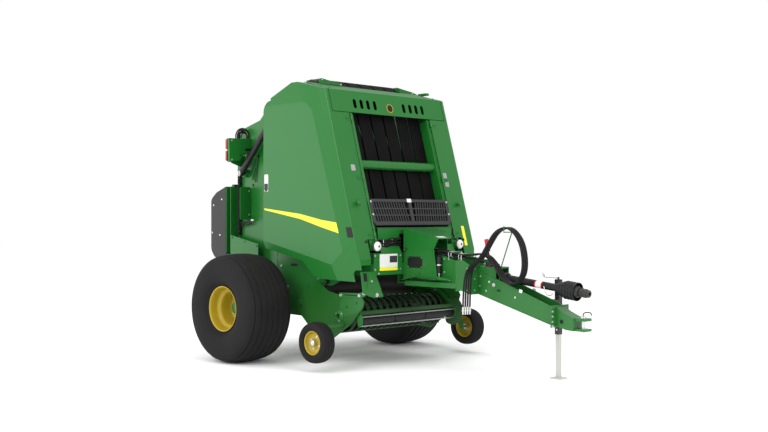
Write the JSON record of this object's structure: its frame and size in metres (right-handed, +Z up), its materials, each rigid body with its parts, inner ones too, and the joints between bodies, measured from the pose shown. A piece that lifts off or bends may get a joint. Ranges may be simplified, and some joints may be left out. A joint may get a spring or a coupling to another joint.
{
  "type": "round baler",
  "caption": "Towed variable-chamber round baler with side shields, lifting rear gate, belts, wide pickup on gauge wheels, drawbar tongue with parking jack and driveline.",
  "frame": {"origin": "on the ground under the middle of the machine's outline", "axes": "+Y towards the rear, -Y towards the tractor, +X to the left side of the machine seen from the front view in the picture, +Z up"},
  "size_m": [2.65, 4.2302, 2.7042],
  "materials": {
    "green": "gloss paint",
    "dark_green": "gloss paint",
    "yellow": "gloss paint",
    "tyre": "matte rubber",
    "belt": "matte rubber",
    "roller": "worn paint",
    "dark_plastic": "matte plastic",
    "red_lens": "clear red plastic",
    "steel": "zinc plated",
    "dark_steel": "satin black",
    "chrome": "polished",
    "red_grip": "plastic grip",
    "hose": "matte rubber",
    "grey_metal": "satin"
  },
  "bodies": {
    "frame": {"side_frame_left": "green", "side_frame_right": "green", "axle_beam": "dark_green", "window_posts": "green", "cross_tubes": "green", "front_hood": "green", "grille": "dark_plastic", "front_panels": "green", "marker_lamps": "grey_metal", "gearbox_hood": "green", "gearbox": "dark_green", "tongue": "green", "hitch_clevis": "green", "hitch_pin": "steel", "jack_tube": "dark_steel", "pto_guard": "dark_plastic", "front_rollers": "roller", "front_belts": "belt", "hose_rack": "green", "valve_lever": "red_grip", "hose_1": "hose", "hose_2": "hose", "hose_3": "hose", "hose_4": "hose", "couplers": "steel"},
    "gate": {"gate_rollers": "roller", "gate_belts": "belt", "gate_frame": "green", "lamp_boxes": "green", "tail_lamps": "red_lens", "net_box": "green", "gate_covers": "green", "gate_harness": "dark_steel"},
    "net_cover_body": {"net_cover": "dark_plastic"},
    "pickup": {"pickup_frame": "green", "reel_bands": "dark_green"},
    "reel": {"pickup_reel": "dark_steel"},
    "windguard_body": {"windguard": "green"},
    "jack_leg_body": {"jack_leg": "steel"},
    "driveline": {"pto_shaft": "dark_steel"},
    "wheel_left": {"tyre_left": "tyre", "rim_left": "yellow"},
    "gauge_wheel_left": {"gauge_tyre_left": "tyre", "gauge_rim_left": "yellow"},
    "gate_barrel_body_left": {"gate_barrel_left": "dark_steel"},
    "gate_rod_body_left": {"gate_rod_left": "chrome"},
    "lift_barrel_body_left": {"lift_barrel_left": "dark_steel"},
    "lift_rod_body_left": {"lift_rod_left": "chrome"},
    "shield_left": {"side_shield_left": "green"},
    "wheel_right": {"tyre_right": "tyre", "rim_right": "yellow"},
    "gauge_wheel_right": {"gauge_tyre_right": "tyre", "gauge_rim_right": "yellow"},
    "gate_barrel_body_right": {"gate_barrel_right": "dark_steel"},
    "gate_rod_body_right": {"gate_rod_right": "chrome"},
    "lift_barrel_body_right": {"lift_barrel_right": "dark_steel"},
    "lift_rod_body_right": {"lift_rod_right": "chrome"},
    "shield_right": {"side_shield_right": "green"}
  },
  "joints": [
    {"name": "gate_hinge", "type": "hinge", "parent": "frame", "child": "gate", "pos_m": [0, 1.14512, 2.5], "axis": [1, 0, 0], "range_deg": [0, 60]},
    {"name": "net_cover_hinge", "type": "hinge", "parent": "gate", "child": "net_cover_body", "pos_m": [0, 1.85312, 1.702], "axis": [1, 0, 0], "range_deg": [0, 80]},
    {"name": "pickup_lift", "type": "hinge", "parent": "frame", "child": "pickup", "pos_m": [0, 0.72512, 0.57], "axis": [-1, 0, 0], "range_deg": [-6.5, 6]},
    {"name": "windguard_swing", "type": "hinge", "parent": "pickup", "child": "windguard_body", "pos_m": [0, 0.22512, 0.648], "axis": [-1, 0, 0], "range_deg": [0, 20]},
    {"name": "reel_spin", "type": "hinge", "parent": "pickup", "child": "reel", "pos_m": [0, 0.17512, 0.47], "axis": [1, 0, 0], "continuous": true},
    {"name": "jack_slide", "type": "slide", "parent": "frame", "child": "jack_leg_body", "axis": [0, 0, 1], "range_m": [0, 0.25]},
    {"name": "driveline_spin", "type": "hinge", "parent": "frame", "child": "driveline", "pos_m": [0, -0.57488, 0.9267], "axis": [0, -0.9937, -0.1117], "continuous": true},
    {"name": "wheel_spin_left", "type": "hinge", "parent": "frame", "child": "wheel_left", "pos_m": [1.07, 1.12512, 0.515], "axis": [1, 0, 0], "continuous": true},
    {"name": "gauge_spin_left", "type": "hinge", "parent": "pickup", "child": "gauge_wheel_left", "pos_m": [1.02, 0.07712, 0.264], "axis": [1, 0, 0], "continuous": true},
    {"name": "shield_hinge_left", "type": "hinge", "parent": "frame", "child": "shield_left", "pos_m": [0.54, -0.02605, 1.72164], "axis": [0, -0.2732, -0.962], "range_deg": [0, 95]},
    {"name": "gate_ram_pivot_left", "type": "hinge", "parent": "gate", "child": "gate_barrel_body_left", "pos_m": [0.69, 1.61512, 1.82], "axis": [1, 0, 0], "range_deg": [-4.51, 0]},
    {"name": "gate_ram_slide_left", "type": "slide", "parent": "gate_barrel_body_left", "child": "gate_rod_body_left", "axis": [0, -0.6918, 0.7221], "range_m": [0, 0.1146]},
    {"name": "lift_pivot_left", "type": "hinge", "parent": "frame", "child": "lift_barrel_body_left", "pos_m": [0.632, 0.38112, 0.777], "axis": [1, 0, 0], "range_deg": [-0.0421, 0.0389]},
    {"name": "lift_slide_left", "type": "slide", "parent": "lift_barrel_body_left", "child": "lift_rod_body_left", "axis": [0, 0.5547, -0.8321], "range_m": [-0.01881, 0.02038]},
    {"name": "wheel_spin_right", "type": "hinge", "parent": "frame", "child": "wheel_right", "pos_m": [-1.07, 1.12512, 0.515], "axis": [1, 0, 0], "continuous": true},
    {"name": "gauge_spin_right", "type": "hinge", "parent": "pickup", "child": "gauge_wheel_right", "pos_m": [-1.02, 0.07712, 0.264], "axis": [1, 0, 0], "continuous": true},
    {"name": "shield_hinge_right", "type": "hinge", "parent": "frame", "child": "shield_right", "pos_m": [-0.54, -0.02605, 1.72164], "axis": [0, 0.2732, 0.962], "range_deg": [0, 95]},
    {"name": "gate_ram_pivot_right", "type": "hinge", "parent": "gate", "child": "gate_barrel_body_right", "pos_m": [-0.69, 1.61512, 1.82], "axis": [1, 0, 0], "range_deg": [-4.51, 0]},
    {"name": "gate_ram_slide_right", "type": "slide", "parent": "gate_barrel_body_right", "child": "gate_rod_body_right", "axis": [0, -0.6918, 0.7221], "range_m": [0, 0.1146]},
    {"name": "lift_pivot_right", "type": "hinge", "parent": "frame", "child": "lift_barrel_body_right", "pos_m": [-0.632, 0.38112, 0.777], "axis": [1, 0, 0], "range_deg": [-0.0421, 0.0389]},
    {"name": "lift_slide_right", "type": "slide", "parent": "lift_barrel_body_right", "child": "lift_rod_body_right", "axis": [0, 0.5547, -0.8321], "range_m": [-0.01881, 0.02038]}
  ],
  "couplings": [
    {"joint": "gate_ram_pivot_left", "follows": "gate_hinge", "ratio": -0.073768},
    {"joint": "gate_ram_slide_left", "follows": "gate_hinge", "m_per_rad": 0.10729},
    {"joint": "lift_pivot_left", "follows": "pickup_lift", "ratio": 0.006168},
    {"joint": "lift_slide_left", "follows": "pickup_lift", "m_per_rad": -0.17107},
    {"joint": "gate_ram_pivot_right", "follows": "gate_hinge", "ratio": -0.073768},
    {"joint": "gate_ram_slide_right", "follows": "gate_hinge", "m_per_rad": 0.10729},
    {"joint": "lift_pivot_right", "follows": "pickup_lift", "ratio": 0.006168},
    {"joint": "lift_slide_right", "follows": "pickup_lift", "m_per_rad": -0.17107}
  ]
}
